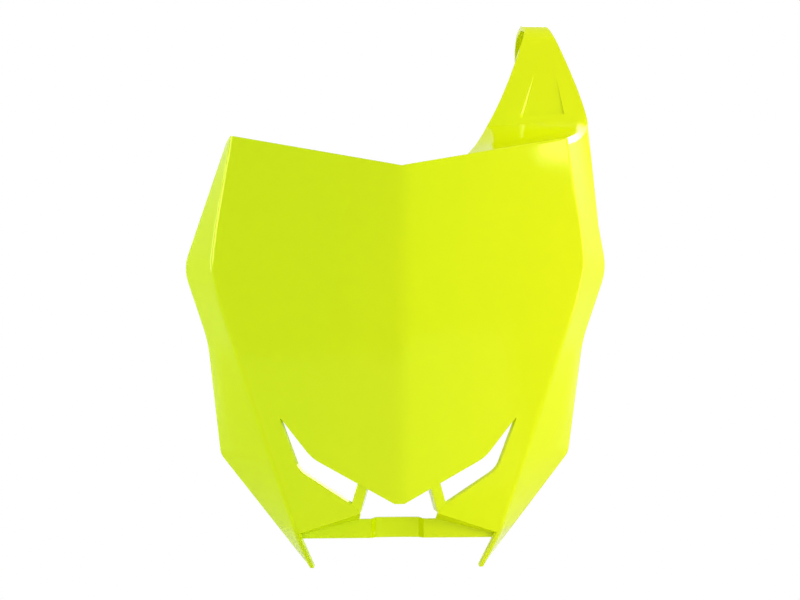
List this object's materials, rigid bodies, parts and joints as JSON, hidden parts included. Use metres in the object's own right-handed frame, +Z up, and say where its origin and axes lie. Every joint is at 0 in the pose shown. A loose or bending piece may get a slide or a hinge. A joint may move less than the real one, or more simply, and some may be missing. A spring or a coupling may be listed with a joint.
{
  "type": "motorcycle front number board",
  "caption": "V-shaped front number board with folded side flanges, vents beside the chin, a lower bar and a strap that curls over the handlebar.",
  "frame": {"origin": "centre of the bounding box, on the board's plane of symmetry (the strap is the only part off that symmetry)", "axes": "+Z up along the ridge of the face as mounted, -Y is the way the face looks, +X to the side that carries the strap"},
  "size_m": [0.2552, 0.0724, 0.3306],
  "materials": {
    "gloss_yellow": "gloss, as moulded"
  },
  "bodies": {
    "root": {"number_board": "gloss_yellow"}
  },
  "joints": []
}
